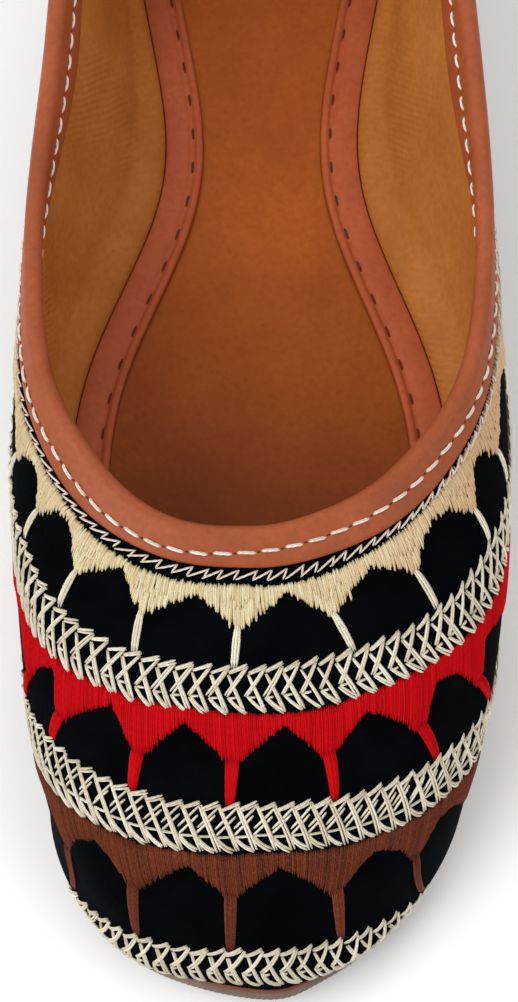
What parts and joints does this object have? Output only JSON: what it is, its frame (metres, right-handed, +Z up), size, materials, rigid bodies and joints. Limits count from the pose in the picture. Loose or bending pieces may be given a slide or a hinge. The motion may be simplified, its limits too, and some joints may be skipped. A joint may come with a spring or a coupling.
{
  "type": "mojari shoe",
  "caption": "Flat slip-on shoe with a broad round toe, a low open collar with a folded binding, a hollow upper, an insole with a raised edge and a thin leather sole.",
  "frame": {"origin": "on the floor, under the middle of the shoe's bounding box", "axes": "+Z up, toe towards -Y, heel towards +Y, +X towards the wearer's outer side"},
  "size_m": [0.0844, 0.248, 0.06],
  "materials": {
    "sole_leather": "matte",
    "midsole_leather": "matte",
    "velvet": "matte pile, embroidered",
    "binding_leather": "satin",
    "insole_leather": "satin",
    "strip_leather": "satin"
  },
  "bodies": {
    "root": {"outsole": "sole_leather", "midsole": "midsole_leather", "upper": "velvet", "collar_binding": "binding_leather", "insole": "insole_leather", "insole_edge_strip": "strip_leather"}
  },
  "joints": []
}
